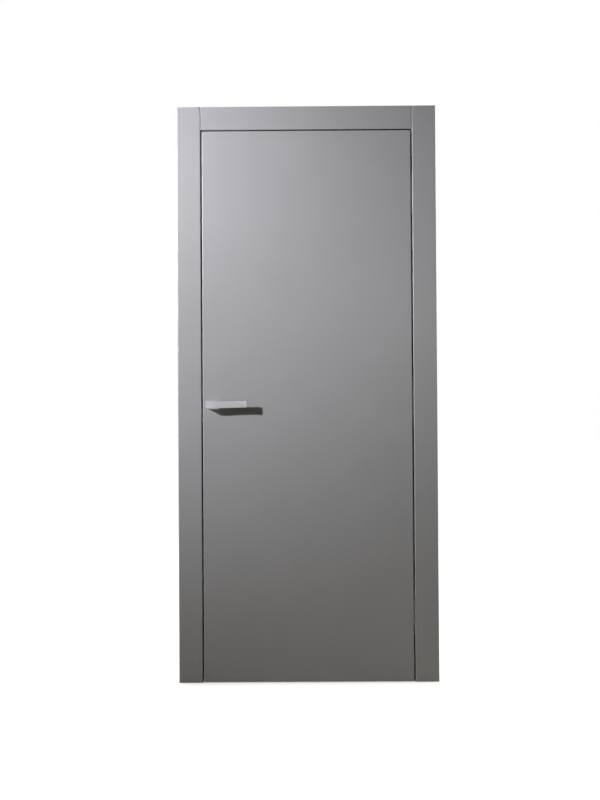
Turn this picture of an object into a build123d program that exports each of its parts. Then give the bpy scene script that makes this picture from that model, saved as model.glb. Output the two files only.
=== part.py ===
from build123d import *
import math
import os

# Interior door: a flush leaf hung in a frame whose flat casings lie level with it.
# Millimetres. +X runs right, +Y goes into the wall, +Z runs up, and the viewer stands at -Y.
# The origin is on the hinge jamb's outer face, at floor level, in the middle of the wall.

# Driving dimensions of the opening and the wall
LEAF_WIDTH = 800.0
LEAF_HEIGHT = 2100.0
LEAF_THICKNESS = 44.0
LEAF_GAP = 5.0
FLOOR_GAP = 5.0
WALL_THICKNESS = 100.0

# Frame
JAMB_THICKNESS = 45.0
STOP_PROJECTION = 10.0
STOP_CLEARANCE = 8.0
CASING_WIDTH = 90.0
CASING_THICKNESS = 12.0
CASING_ARRIS = 3.0
CASING_JOINT = 1.0
REAR_REVEAL = 5.0
GROOVE_WIDTH = 4.2
GROOVE_DEPTH = 12.0
GROOVE_EDGE = 6.5
TONGUE_WIDTH = 4.0
TONGUE_LENGTH = 11.0

# Leaf
SKIN = 6.0
STILE_HINGE_WIDTH = 60.0
STILE_LOCK_WIDTH = 75.0
RAIL_HEIGHT = 60.0
LOCK_BEVEL_DEG = 2.0
LEAF_ARRIS = 3.0

# Seals
SEAL_OFFSET = 7.5
SEAL_WIDTH = 4.0
SEAL_HEIGHT = 7.0
SEAL_TONGUE = 2.6
SEAL_TONGUE_LENGTH = 6.0
SEAL_GROOVE = 3.0
SEAL_GROOVE_DEPTH = 7.0

# Concealed hinges
HINGE_HEIGHTS = {"lower": 258.0, "middle": 1058.0, "upper": 1858.0}
HINGE_AXIS_OUT = 2.5
CUP_LENGTH = 140.0
CUP_WALL = 1.5
CUP_DEPTH = 33.0
CUP_BACK = 38.5
JAMB_CUP_FRONT = 16.5
LEAF_CUP_FRONT = 10.5
ARM_OUTER_RADIUS = 36.0
ARM_INNER_RADIUS = 29.0
ARM_JAMB_CUT = 19.5
ARM_LEAF_CUT = 13.5
ARM_THICKNESS = 14.0
ARM_PITCH = 36.0
ARM_PIN_RADIUS = 2.2
ARM_PIN_ANGLES = (49.0, 144.0)

# Handle
HANDLE_HEIGHT = 1058.0
BACKSET = 39.0
ROSE_WIDTH = 45.0
ROSE_HEIGHT = 34.0
ROSE_THICKNESS = 8.0
LEVER_CLEARANCE = 0.5
LEVER_PROJECTION = 54.0
LEVER_HEAD_WIDTH = 43.0
LEVER_REACH = 136.0
LEVER_THICKNESS = 12.0
LEVER_HEIGHT = 27.0
LEVER_TIP_HEIGHT = 24.5
LEVER_DISH = 3.0
LEVER_TIP_RADIUS = 5.0
LEVER_ARRIS = 1.0
INNER_FILLET = 11.0
SPINDLE_SIDE = 8.0
SPINDLE_HOLE_RADIUS = 9.0
SPINDLE_DEPTH_IN_LEVER = 30.0

# Lock
FACEPLATE_WIDTH = 20.0
FACEPLATE_HEIGHT = 235.0
FACEPLATE_THICKNESS = 3.0
LOCK_CASE_DEPTH = 62.0
LOCK_CASE_HEIGHT = 155.0
LOCK_CASE_THICKNESS = 14.0
LATCH_WIDTH = 10.0
LATCH_HEIGHT = 26.0
LATCH_DEPTH = 16.0
LATCH_RISE = 42.0
STRIKE_WIDTH = 18.0
STRIKE_HEIGHT = 160.0
STRIKE_MOUTH_DEPTH = 14.0
STRIKE_MOUTH_CLEARANCE = 1.5

# Positions that follow from the driving dimensions
HINGE_FACE = -JAMB_THICKNESS
LEAF_RIGHT = HINGE_FACE - LEAF_GAP
LEAF_LEFT = LEAF_RIGHT - LEAF_WIDTH
LOCK_FACE = LEAF_LEFT - LEAF_GAP
LOCK_OUTER = LOCK_FACE - JAMB_THICKNESS
MIDDLE = LOCK_OUTER / 2
WALL_FRONT = -WALL_THICKNESS / 2
WALL_BACK = WALL_THICKNESS / 2
FRONT = WALL_FRONT - CASING_THICKNESS
LEAF_BACK = FRONT + LEAF_THICKNESS
LEAF_MID = (FRONT + LEAF_BACK) / 2
LEAF_BOTTOM = FLOOR_GAP
LEAF_TOP = LEAF_BOTTOM + LEAF_HEIGHT
HEAD_FACE = LEAF_TOP + LEAF_GAP
HEAD_TOP = HEAD_FACE + JAMB_THICKNESS
STOP_FRONT = LEAF_BACK + STOP_CLEARANCE
HINGE_STOP = HINGE_FACE - STOP_PROJECTION
LOCK_STOP = LOCK_FACE + STOP_PROJECTION
HEAD_STOP = HEAD_FACE - STOP_PROJECTION
CASING_RIGHT = HINGE_FACE + CASING_WIDTH
CASING_LEFT = LOCK_FACE - CASING_WIDTH
CASING_TOP = HEAD_FACE + CASING_WIDTH
HINGE_X = HINGE_FACE - LEAF_GAP / 2
HINGE_Y = FRONT - HINGE_AXIS_OUT
SPINDLE_X = LEAF_LEFT + BACKSET
LATCH_HEIGHT_ABOVE_FLOOR = HANDLE_HEIGHT + LATCH_RISE


def block(x_low, x_high, y_low, y_high, z_low, z_high):
    """A box between two corners."""
    centre = ((x_low + x_high) / 2, (y_low + y_high) / 2, (z_low + z_high) / 2)
    return Pos(*centre) * Box(x_high - x_low, y_high - y_low, z_high - z_low)


def across(shape):
    """The same shape on the other side of the doorway."""
    return shape.mirror(Plane.YZ.offset(MIDDLE))


def front_edges(part, y_level):
    """The edges of a board that lie in the plane of its show face."""
    return part.edges().filter_by(
        lambda edge: abs(edge.center().Y - y_level) < 0.01 and edge.bounding_box().size.Y < 0.01
    )


def write(name, shape):
    """Save one piece as its own file."""
    export_step(shape, f"parts/{name}.step")


# Jambs and head of the frame, with the stop worked from the same piece


def seal_groove(x_low, x_high, z_low, z_high):
    """The slot in the stop that a seal's tongue is pushed into."""
    return block(x_low, x_high, STOP_FRONT, STOP_FRONT + SEAL_GROOVE_DEPTH, z_low, z_high)


def jamb_blank():
    """Hinge-side post: a plank with a stop, casing grooves front and back, and a seal slot."""
    post = block(HINGE_FACE, 0, WALL_FRONT, WALL_BACK, 0, HEAD_TOP)
    post += block(HINGE_STOP, HINGE_FACE, STOP_FRONT, WALL_BACK, 0, HEAD_TOP)
    groove_left = -GROOVE_EDGE - GROOVE_WIDTH
    post -= block(groove_left, -GROOVE_EDGE, WALL_FRONT, WALL_FRONT + GROOVE_DEPTH, 0, HEAD_TOP)
    post -= block(groove_left, -GROOVE_EDGE, WALL_BACK - GROOVE_DEPTH, WALL_BACK, 0, HEAD_TOP)
    seal_x = HINGE_FACE - SEAL_OFFSET
    post -= seal_groove(seal_x - SEAL_GROOVE / 2, seal_x + SEAL_GROOVE / 2, 0, HEAD_TOP)
    return post


def head_jamb():
    """Top piece between the posts, notched round their stops."""
    head = block(LOCK_FACE, HINGE_FACE, WALL_FRONT, WALL_BACK, HEAD_FACE, HEAD_TOP)
    head += block(LOCK_FACE, HINGE_FACE, STOP_FRONT, WALL_BACK, HEAD_STOP, HEAD_FACE)
    head -= block(HINGE_STOP, HINGE_FACE, STOP_FRONT, WALL_BACK, HEAD_STOP, HEAD_TOP)
    head -= block(LOCK_FACE, LOCK_STOP, STOP_FRONT, WALL_BACK, HEAD_STOP, HEAD_TOP)
    groove_top = HEAD_TOP - GROOVE_EDGE
    groove_low = groove_top - GROOVE_WIDTH
    head -= block(LOCK_FACE, HINGE_FACE, WALL_FRONT, WALL_FRONT + GROOVE_DEPTH, groove_low, groove_top)
    head -= block(LOCK_FACE, HINGE_FACE, WALL_BACK - GROOVE_DEPTH, WALL_BACK, groove_low, groove_top)
    seal_z = HEAD_FACE - SEAL_OFFSET
    head -= seal_groove(LOCK_FACE, HINGE_FACE, seal_z - SEAL_GROOVE / 2, seal_z + SEAL_GROOVE / 2)
    return head


# Casings: flat boards with eased arrises and a tongue that plugs into the jamb


def casing(x_low, x_high, z_low, z_high, y_show, tongue):
    """A flat board whose show face is at y_show, with every show edge rounded over."""
    y_wall = WALL_FRONT if y_show < 0 else WALL_BACK
    board = block(x_low, x_high, min(y_show, y_wall), max(y_show, y_wall), z_low, z_high)
    board = fillet(front_edges(board, y_show), CASING_ARRIS)
    return board + tongue


def side_tongue(y_low, y_high):
    """The upright tongue on the back of a side casing."""
    x_high = -GROOVE_EDGE - (GROOVE_WIDTH - TONGUE_WIDTH) / 2
    return block(x_high - TONGUE_WIDTH, x_high, y_low, y_high, 0, HEAD_TOP)


def head_tongue(x_low, x_high, y_low, y_high):
    """The level tongue on the back of a head casing."""
    z_high = HEAD_TOP - GROOVE_EDGE - (GROOVE_WIDTH - TONGUE_WIDTH) / 2
    return block(x_low, x_high, y_low, y_high, z_high - TONGUE_WIDTH, z_high)


def casings():
    """Six boards: level with the leaf in front, set back from the stop behind."""
    front_span = (WALL_FRONT, WALL_FRONT + TONGUE_LENGTH)
    back_span = (WALL_BACK - TONGUE_LENGTH, WALL_BACK)
    back_show = WALL_BACK + CASING_THICKNESS
    front_side = casing(HINGE_FACE, CASING_RIGHT, 0, CASING_TOP, FRONT, side_tongue(*front_span))
    front_tongue = head_tongue(LOCK_FACE, HINGE_FACE, *front_span)
    front_ends = (LOCK_FACE + CASING_JOINT, HINGE_FACE - CASING_JOINT)
    front_head = casing(*front_ends, HEAD_FACE, CASING_TOP, FRONT, front_tongue)
    back_inner = HINGE_STOP + REAR_REVEAL
    back_low = HEAD_STOP + REAR_REVEAL
    back_top = back_low + CASING_WIDTH
    back_side = casing(
        back_inner, back_inner + CASING_WIDTH, 0, back_top, back_show, side_tongue(*back_span)
    )
    back_left = 2 * MIDDLE - back_inner
    back_tongue = head_tongue(LOCK_STOP, HINGE_STOP, *back_span)
    back_ends = (back_left + CASING_JOINT, back_inner - CASING_JOINT)
    back_head = casing(*back_ends, back_low, back_top, back_show, back_tongue)
    return {
        "casing_front_hinge": front_side,
        "casing_front_lock": across(front_side),
        "casing_front_head": front_head,
        "casing_back_hinge": back_side,
        "casing_back_lock": across(back_side),
        "casing_back_head": back_head,
    }


# Seals: a hollow-looking bulb with a tongue, pressed into the slot of the stop


def seal_profile(plane):
    """Half-round bulb on a tongue, drawn with local x across the seal and local y into the stop."""
    half = SEAL_WIDTH / 2
    shoulder = -(SEAL_HEIGHT - half)
    with BuildSketch(plane) as profile:
        with BuildLine():
            Line((-half, 0), (-half, shoulder))
            RadiusArc((-half, shoulder), (half, shoulder), -half)
            Line((half, shoulder), (half, 0))
            Line((half, 0), (-half, 0))
        make_face()
        with Locations((0, SEAL_TONGUE_LENGTH / 2)):
            Rectangle(SEAL_TONGUE, SEAL_TONGUE_LENGTH)
    return profile.sketch


def seals():
    """One seal up each post and one across the head, all in front of the stop."""
    seal_x = HINGE_FACE - SEAL_OFFSET
    seal_z = HEAD_FACE - SEAL_OFFSET
    side_top = seal_z - SEAL_WIDTH / 2
    upright = Plane((seal_x, STOP_FRONT, 0), x_dir=(1, 0, 0), z_dir=(0, 0, 1))
    side = extrude(seal_profile(upright), side_top)
    span = HINGE_FACE - LOCK_FACE
    level = Plane((LOCK_FACE, STOP_FRONT, seal_z), x_dir=(0, 0, -1), z_dir=(1, 0, 0))
    head = extrude(seal_profile(level), span)
    head -= block(HINGE_STOP, HINGE_FACE, STOP_FRONT, WALL_BACK, HEAD_STOP, HEAD_FACE)
    head -= block(LOCK_FACE, LOCK_STOP, STOP_FRONT, WALL_BACK, HEAD_STOP, HEAD_FACE)
    return {"seal_hinge": side, "seal_lock": across(side), "seal_head": head}


# Leaf: two skins over stiles, rails and a core, with a bevelled lock edge


def leaf_envelope():
    """The leaf's outer form: the lock edge leans back so that it clears the frame as it opens."""
    setback = LEAF_THICKNESS * math.tan(math.radians(LOCK_BEVEL_DEG))
    with BuildSketch(Plane.XY.offset(LEAF_BOTTOM)) as plan:
        with BuildLine():
            Polyline(
                (LEAF_LEFT, FRONT),
                (LEAF_RIGHT, FRONT),
                (LEAF_RIGHT, LEAF_BACK),
                (LEAF_LEFT + setback, LEAF_BACK),
                close=True,
            )
        make_face()
    return extrude(plan.sketch, LEAF_HEIGHT)


def leaf_pieces(envelope, cuts):
    """Skins, stiles, rails and core, each trimmed to the leaf's form and cut for the fittings."""
    core_front = FRONT + SKIN
    core_back = LEAF_BACK - SKIN
    lock_inner = LEAF_LEFT + STILE_LOCK_WIDTH
    hinge_inner = LEAF_RIGHT - STILE_HINGE_WIDTH
    rail_low = LEAF_BOTTOM + RAIL_HEIGHT
    rail_high = LEAF_TOP - RAIL_HEIGHT
    blanks = {
        "leaf_skin_front": block(LEAF_LEFT, LEAF_RIGHT, FRONT, core_front, LEAF_BOTTOM, LEAF_TOP),
        "leaf_skin_back": block(LEAF_LEFT, LEAF_RIGHT, core_back, LEAF_BACK, LEAF_BOTTOM, LEAF_TOP),
        "leaf_stile_lock": block(LEAF_LEFT, lock_inner, core_front, core_back, LEAF_BOTTOM, LEAF_TOP),
        "leaf_stile_hinge": block(hinge_inner, LEAF_RIGHT, core_front, core_back, LEAF_BOTTOM, LEAF_TOP),
        "leaf_rail_bottom": block(lock_inner, hinge_inner, core_front, core_back, LEAF_BOTTOM, rail_low),
        "leaf_rail_top": block(lock_inner, hinge_inner, core_front, core_back, rail_high, LEAF_TOP),
        "leaf_core": block(lock_inner, hinge_inner, core_front, core_back, rail_low, rail_high),
    }
    pieces = {}
    for name, blank in blanks.items():
        piece = blank & envelope
        for cut in cuts.get(name, []):
            piece -= cut
        pieces[name] = piece
    front_skin = pieces["leaf_skin_front"]
    pieces["leaf_skin_front"] = fillet(front_outline(front_skin, FRONT), LEAF_ARRIS)
    back_skin = pieces["leaf_skin_back"]
    pieces["leaf_skin_back"] = fillet(front_outline(back_skin, LEAF_BACK), LEAF_ARRIS)
    return pieces


def front_outline(skin, y_level):
    """The four straight outer edges of a skin's show face, without the holes."""
    return front_edges(skin, y_level).filter_by(GeomType.LINE)


# Concealed hinges: a cup in the jamb, a cup in the leaf and curved arms between them


def cup_solids(side, y_front, height):
    """Outer form and cavity of a round-ended cup whose mouth is at the jamb's or leaf's edge."""
    mouth = HINGE_FACE if side > 0 else LEAF_RIGHT
    y_low = HINGE_Y + y_front
    y_high = HINGE_Y + CUP_BACK
    width = y_high - y_low
    y_mid = (y_low + y_high) / 2
    plane = Plane((mouth, y_mid, height), x_dir=(0, 0, 1), z_dir=(side, 0, 0))
    outer = extrude(plane * SlotOverall(CUP_LENGTH, width), CUP_DEPTH)
    cavity = extrude(
        plane * SlotOverall(CUP_LENGTH - 2 * CUP_WALL, width - 2 * CUP_WALL), CUP_DEPTH - CUP_WALL
    )
    return outer, cavity


def hinge_arms(height):
    """Curved plates about the hinge axis, stacked with gaps and joined by a pin at each end."""
    ring_plane = Plane((HINGE_X, HINGE_Y, height), x_dir=(1, 0, 0), z_dir=(0, 0, 1))
    ring = Circle(ARM_OUTER_RADIUS) - Circle(ARM_INNER_RADIUS)
    reach = ARM_OUTER_RADIUS + 1
    jamb_side = Pos(reach / 2, ARM_JAMB_CUT + reach / 2) * Rectangle(reach, reach)
    leaf_side = Pos(-reach / 2, ARM_LEAF_CUT + reach / 2) * Rectangle(reach, reach)
    band = ring & (jamb_side + leaf_side)
    plates = None
    for step in (-1, 0, 1):
        low = step * ARM_PITCH - ARM_THICKNESS / 2
        plate = extrude(ring_plane.offset(low) * band, ARM_THICKNESS)
        plates = plate if plates is None else plates + plate
    pin_radius_from_axis = (ARM_OUTER_RADIUS + ARM_INNER_RADIUS) / 2
    pin_length = 2 * ARM_PITCH + ARM_THICKNESS
    for angle in ARM_PIN_ANGLES:
        x = HINGE_X + pin_radius_from_axis * math.cos(math.radians(angle))
        y = HINGE_Y + pin_radius_from_axis * math.sin(math.radians(angle))
        plates += Pos(x, y, height) * Cylinder(ARM_PIN_RADIUS, pin_length)
    return plates


# Handle: a block head that runs out of its rose, and a dished blade


def lever(side):
    """Lever on one face of the leaf: side -1 in front, +1 behind. Plan outline, then trimmed."""
    face = FRONT if side < 0 else LEAF_BACK
    half_head = LEVER_HEAD_WIDTH / 2
    base = ROSE_THICKNESS + LEVER_CLEARANCE
    out = LEVER_PROJECTION
    back = out - LEVER_THICKNESS
    dish_start = half_head / 2
    dish_middle = (dish_start + LEVER_REACH) / 2
    with BuildSketch(Plane.XY) as plan:
        with BuildLine():
            ThreePointArc((dish_start, out), (dish_middle, out - LEVER_DISH), (LEVER_REACH, out))
            Polyline(
                (LEVER_REACH, out),
                (LEVER_REACH, back),
                (half_head, back),
                (half_head, base),
                (-half_head, base),
                (-half_head, out),
                (dish_start, out),
            )
        make_face()
    body = extrude(plan.sketch, LEVER_HEIGHT / 2, both=True) - under_cut(half_head)
    tip_corners = body.edges().filter_by(Axis.Z).group_by(Axis.X)[-1]
    body = fillet(tip_corners, LEVER_TIP_RADIUS)
    inner_corner = body.edges().filter_by(Axis.Z).sort_by_distance((half_head, back, 0))[0]
    body = fillet(inner_corner, INNER_FILLET)
    arrises = body.edges().filter_by(lambda edge: edge.center().Y > base and not in_the_grip(edge))
    body = chamfer(arrises, LEVER_ARRIS)
    if side < 0:
        body = body.mirror(Plane.XZ)
    return Pos(SPINDLE_X, face, HANDLE_HEIGHT) * body


def in_the_grip(edge):
    """True for the upright lines where one face of the blade runs smoothly into the next."""
    upright = edge.bounding_box().size.Z > LEVER_TIP_HEIGHT - 1
    return upright and edge.center().X > -LEVER_HEAD_WIDTH / 2 + 1


def under_cut(start):
    """The wedge below the blade that makes it shallower towards the tip."""
    low = -LEVER_HEIGHT / 2
    rise = LEVER_HEIGHT - LEVER_TIP_HEIGHT
    end = LEVER_REACH + 1
    with BuildSketch(Plane.XZ) as wedge:
        with BuildLine():
            Polyline((start, low), (end, low), (end, low + rise), close=True)
        make_face()
    return extrude(wedge.sketch, -LEVER_PROJECTION - 1)


def rose(side):
    """Flat rectangular plate that the lever turns against, with a round hole for the spindle."""
    face = FRONT if side < 0 else LEAF_BACK
    plate = Box(ROSE_WIDTH, ROSE_THICKNESS, ROSE_HEIGHT)
    upright = plate.edges().filter_by(Axis.Y)
    plate = fillet(upright, 2)
    plate = chamfer(front_edges(plate, ROSE_THICKNESS / 2 * side), 0.8)
    plate -= Rot(90, 0, 0) * Cylinder(SPINDLE_HOLE_RADIUS, ROSE_THICKNESS)
    return Pos(SPINDLE_X, face + side * ROSE_THICKNESS / 2, HANDLE_HEIGHT) * plate


def spindle_bar():
    """Square bar through the leaf, reaching into both levers."""
    length = LEAF_THICKNESS + 2 * SPINDLE_DEPTH_IN_LEVER
    return Pos(SPINDLE_X, LEAF_MID, HANDLE_HEIGHT) * Box(SPINDLE_SIDE, length, SPINDLE_SIDE)


def spindle_hole():
    """Round clearance hole for the spindle, right through the leaf."""
    hole = Rot(90, 0, 0) * Cylinder(SPINDLE_HOLE_RADIUS, LEAF_THICKNESS)
    return Pos(SPINDLE_X, LEAF_MID, HANDLE_HEIGHT) * hole


# Lock: a case sunk in the lock stile behind a faceplate, with the latch drawn in


def around_leaf_middle(x_low, x_high, width, z_mid, height):
    """A block centred on the leaf's thickness."""
    return block(
        x_low, x_high, LEAF_MID - width / 2, LEAF_MID + width / 2, z_mid - height / 2, z_mid + height / 2
    )


def lock_pieces(envelope):
    """Faceplate level with the bevelled edge, case behind it, and the latch bolt in both."""
    # The faceplate's inner face is upright, and its outer face takes the leaf's bevel.
    plate_inner = LEAF_LEFT + FACEPLATE_THICKNESS + 1
    latch_low = LEAF_LEFT
    latch_high = LEAF_LEFT + LATCH_DEPTH
    latch = around_leaf_middle(latch_low, latch_high, LATCH_WIDTH, LATCH_HEIGHT_ABOVE_FLOOR, LATCH_HEIGHT)
    latch &= envelope
    plate = around_leaf_middle(LEAF_LEFT, plate_inner, FACEPLATE_WIDTH, HANDLE_HEIGHT, FACEPLATE_HEIGHT)
    plate &= envelope
    plate_seat = plate
    case_blank = around_leaf_middle(
        plate_inner, LEAF_LEFT + LOCK_CASE_DEPTH, LOCK_CASE_THICKNESS, HANDLE_HEIGHT, LOCK_CASE_HEIGHT
    )
    plate = plate - latch
    case = case_blank - latch - spindle_hole()
    return {"lock_faceplate": plate, "lock_case": case, "latch_bolt": latch}, [plate_seat, case_blank]


def strike_plate():
    """Plate sunk level with the lock jamb's face, with a mouth opposite the latch."""
    plate = around_leaf_middle(
        LOCK_FACE - FACEPLATE_THICKNESS, LOCK_FACE, STRIKE_WIDTH, HANDLE_HEIGHT, STRIKE_HEIGHT
    )
    return plate - strike_mouth()


def strike_seat():
    """The recess in the jamb that holds the strike plate."""
    return around_leaf_middle(
        LOCK_FACE - FACEPLATE_THICKNESS, LOCK_FACE, STRIKE_WIDTH, HANDLE_HEIGHT, STRIKE_HEIGHT
    )


def strike_mouth():
    """The pocket in plate and jamb that the latch enters when the door is shut."""
    return around_leaf_middle(
        LOCK_FACE - STRIKE_MOUTH_DEPTH,
        LOCK_FACE,
        LATCH_WIDTH + 2 * STRIKE_MOUTH_CLEARANCE,
        LATCH_HEIGHT_ABOVE_FLOOR,
        LATCH_HEIGHT + 2 * STRIKE_MOUTH_CLEARANCE,
    )


def main():
    os.makedirs("parts", exist_ok=True)
    envelope = leaf_envelope()

    hinge_jamb = jamb_blank()
    lock_jamb = across(jamb_blank()) - strike_seat() - strike_mouth()
    leaf_cup_seats = []
    for level, height in HINGE_HEIGHTS.items():
        jamb_outer, jamb_cavity = cup_solids(1, JAMB_CUP_FRONT, height)
        leaf_outer, leaf_cavity = cup_solids(-1, LEAF_CUP_FRONT, height)
        hinge_jamb -= jamb_outer
        leaf_cup_seats.append(leaf_outer)
        write(f"hinge_jamb_cup_{level}", jamb_outer - jamb_cavity)
        write(f"hinge_leaf_cup_{level}", leaf_outer - leaf_cavity)
        write(f"hinge_arms_{level}", hinge_arms(height))
    write("jamb_hinge", hinge_jamb)
    write("jamb_lock", lock_jamb)
    write("jamb_head", head_jamb())
    write("strike_plate", strike_plate())

    for name, board in casings().items():
        write(name, board)
    for name, strip in seals().items():
        write(name, strip)

    lock, lock_seats = lock_pieces(envelope)
    for name, piece in lock.items():
        write(name, piece)
    hole = spindle_hole()
    cuts = {
        "leaf_skin_front": [hole],
        "leaf_skin_back": [hole],
        "leaf_stile_lock": [hole] + lock_seats,
        "leaf_stile_hinge": leaf_cup_seats,
    }
    for name, piece in leaf_pieces(envelope, cuts).items():
        write(name, piece)

    bar = spindle_bar()
    write("spindle", bar)
    for name, side in (("front", -1), ("back", 1)):
        write(f"lever_{name}", lever(side) - bar)
        write(f"rose_{name}", rose(side))


main()
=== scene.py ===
import math

import bmesh
import bpy
import numpy as np
from bpy.props import FloatProperty, FloatVectorProperty, PointerProperty
from bpy.types import Operator, Panel, PropertyGroup
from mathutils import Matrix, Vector


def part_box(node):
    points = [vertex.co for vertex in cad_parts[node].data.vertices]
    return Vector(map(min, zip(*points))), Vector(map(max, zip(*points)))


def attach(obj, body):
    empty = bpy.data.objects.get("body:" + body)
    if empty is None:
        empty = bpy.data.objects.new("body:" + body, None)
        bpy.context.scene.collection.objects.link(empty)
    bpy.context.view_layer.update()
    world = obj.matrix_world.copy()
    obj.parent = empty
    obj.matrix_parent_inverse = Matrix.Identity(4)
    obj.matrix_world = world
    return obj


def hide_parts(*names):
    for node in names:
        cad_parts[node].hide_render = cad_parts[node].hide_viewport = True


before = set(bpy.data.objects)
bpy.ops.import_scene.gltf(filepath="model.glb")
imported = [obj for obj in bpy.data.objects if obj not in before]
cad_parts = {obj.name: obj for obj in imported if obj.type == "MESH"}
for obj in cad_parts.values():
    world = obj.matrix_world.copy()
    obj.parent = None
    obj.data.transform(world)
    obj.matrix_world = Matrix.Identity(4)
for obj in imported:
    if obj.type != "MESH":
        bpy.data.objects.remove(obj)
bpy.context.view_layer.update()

bl_info = {
    "name": "Interior door finishes",
    "version": (1, 0, 0),
    "blender": (4, 5, 0),
    "location": "View3D > Sidebar > Door",
    "description": "Enamel, metals, levers, screws and a plain stage for an interior door",
    "category": "Object",
}

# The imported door's box, and the places that the fittings are worked out from
LEAF_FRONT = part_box("leaf_skin_front")[0].y
LEAF_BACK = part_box("leaf_skin_back")[1].y
SPINDLE_LOW, SPINDLE_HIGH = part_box("spindle")
HANDLE_X = (SPINDLE_LOW.x + SPINDLE_HIGH.x) / 2
HANDLE_Z = (SPINDLE_LOW.z + SPINDLE_HIGH.z) / 2
ROSE_DEPTH = LEAF_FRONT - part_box("rose_front")[0].y
LEVER_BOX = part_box("lever_front")
HINGE_LEVELS = ("lower", "middle", "upper")


# Settings that a user would change


class DoorEnamelSettings(PropertyGroup):
    """The lacquer on the leaf, the frame and the casings."""

    colour: FloatVectorProperty(
        name="Enamel colour",
        description="Colour of the lacquer",
        subtype="COLOR",
        size=3,
        min=0.0,
        max=1.0,
        default=(0.32, 0.32, 0.34),
    )
    roughness: FloatProperty(
        name="Enamel roughness",
        description="Sheen of the lacquer: low is glossy, high is matt",
        min=0.0,
        max=1.0,
        default=0.42,
    )
    peel_size: FloatProperty(
        name="Peel size",
        description="Distance between the ripples that spraying leaves",
        unit="LENGTH",
        min=0.0002,
        max=0.02,
        default=0.0018,
    )
    peel_depth: FloatProperty(
        name="Peel depth",
        description="Height of the ripples that spraying leaves",
        unit="LENGTH",
        min=0.0,
        max=0.0005,
        default=0.000012,
    )
    # Painted highlight: how much lighter the lacquer is painted on rounded edges, in place of the light that
    # they catch
    painted_edge_highlight: FloatProperty(
        name="Edge lift",
        description="How much lighter the lacquer is where it thins over a rounded edge",
        min=1.0,
        max=2.0,
        default=1.5,
    )


class DoorHandleSettings(PropertyGroup):
    """The levers' metal and their form."""

    colour: FloatVectorProperty(
        name="Handle colour",
        description="Colour of the satin metal",
        subtype="COLOR",
        size=3,
        min=0.0,
        max=1.0,
        default=(0.42, 0.415, 0.44),
    )
    roughness: FloatProperty(
        name="Handle roughness",
        description="Sheen of the satin metal",
        min=0.0,
        max=1.0,
        default=0.34,
    )
    head_width: FloatProperty(
        name="Head width",
        description="Width of the block that the blade springs from",
        unit="LENGTH",
        default=0.043,
    )
    height: FloatProperty(
        name="Lever height",
        description="Height of the head",
        unit="LENGTH",
        default=0.027,
    )
    tip_height: FloatProperty(
        name="Tip height",
        description="Height of the blade at its free end",
        unit="LENGTH",
        default=0.0245,
    )
    thickness: FloatProperty(
        name="Blade thickness",
        description="Thickness of the blade seen from above",
        unit="LENGTH",
        default=0.012,
    )
    dish: FloatProperty(
        name="Dish",
        description="Depth of the shallow hollow along the blade's show face",
        unit="LENGTH",
        default=0.003,
    )
    tip_radius: FloatProperty(
        name="Tip radius",
        description="Radius of the blade's two tip corners seen from above",
        unit="LENGTH",
        default=0.005,
    )
    inner_radius: FloatProperty(
        name="Inner radius",
        description="Radius where the head runs into the back of the blade",
        unit="LENGTH",
        default=0.011,
    )
    arris_radius: FloatProperty(
        name="Arris radius",
        description="Radius of the lever's eased edges",
        unit="LENGTH",
        default=0.0013,
    )


class DoorFittingSettings(PropertyGroup):
    """Screws and cover flanges."""

    screw_radius: FloatProperty(
        name="Screw radius",
        description="Radius of a screw's head",
        unit="LENGTH",
        default=0.0038,
    )
    screw_height: FloatProperty(
        name="Screw height",
        description="How far a screw's head stands proud",
        unit="LENGTH",
        default=0.0009,
    )
    flange_thickness: FloatProperty(
        name="Flange thickness",
        description="How far a hinge's flange stands proud of the board",
        unit="LENGTH",
        default=0.0005,
    )
    flange_reach: FloatProperty(
        name="Flange reach",
        description="How far a hinge's flange runs past its cup at top and bottom",
        unit="LENGTH",
        default=0.016,
    )
    flange_rim: FloatProperty(
        name="Flange rim",
        description="How far a hinge's flange runs past its cup at the sides",
        unit="LENGTH",
        default=0.0012,
    )


class DoorStageSettings(PropertyGroup):
    """The camera, the floor and the lamps."""

    lens: FloatProperty(
        name="Lens",
        description="Focal length of the camera",
        subtype="DISTANCE_CAMERA",
        default=34.65,
    )
    camera_place: FloatVectorProperty(
        name="Camera place",
        description="Where the camera stands",
        subtype="TRANSLATION",
        size=3,
        default=(-0.4695, -3.0, 1.0476),
    )
    camera_turn: FloatVectorProperty(
        name="Camera turn",
        description="How the camera is turned",
        subtype="EULER",
        size=3,
        default=(math.pi / 2 + 0.0091, 0.0061, 0.0033),
    )
    key_level: FloatProperty(
        name="Key level",
        description="Level of the lamps in front",
        min=0.0,
        default=1.0,
    )
    rear_level: FloatProperty(
        name="Rear level",
        description="Level of the lamps behind and beside the door",
        min=0.0,
        default=1.0,
    )
    room_level: FloatProperty(
        name="Room level",
        description="Light that comes evenly from all round",
        min=0.0,
        default=0.005,
    )
    floor_size: FloatProperty(
        name="Floor size",
        description="Length of the floor's side",
        unit="LENGTH",
        default=40.0,
    )


# Surfaces

# Points nearer than the first, in metres, become one, and faces thinner than the second go
MERGE_WITHIN = 1e-7
SLIVER_UNDER = 1e-8

# An edge where faces turn by more than this, in degrees, stays sharp
SHARP_ANGLE = 38.0


def grid_faces(rows, columns, wrap_rows, wrap_columns):
    """Four-cornered faces of a grid whose points are numbered row by row, closed where asked."""
    r = np.arange(rows if wrap_rows else rows - 1)
    c = np.arange(columns if wrap_columns else columns - 1)
    r, c = np.meshgrid(r, c, indexing="ij")
    r_next = (r + 1) % rows
    c_next = (c + 1) % columns
    corners = (r * columns + c, r_next * columns + c, r_next * columns + c_next, r * columns + c_next)
    return np.stack(corners, -1).reshape(-1, 4)


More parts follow.
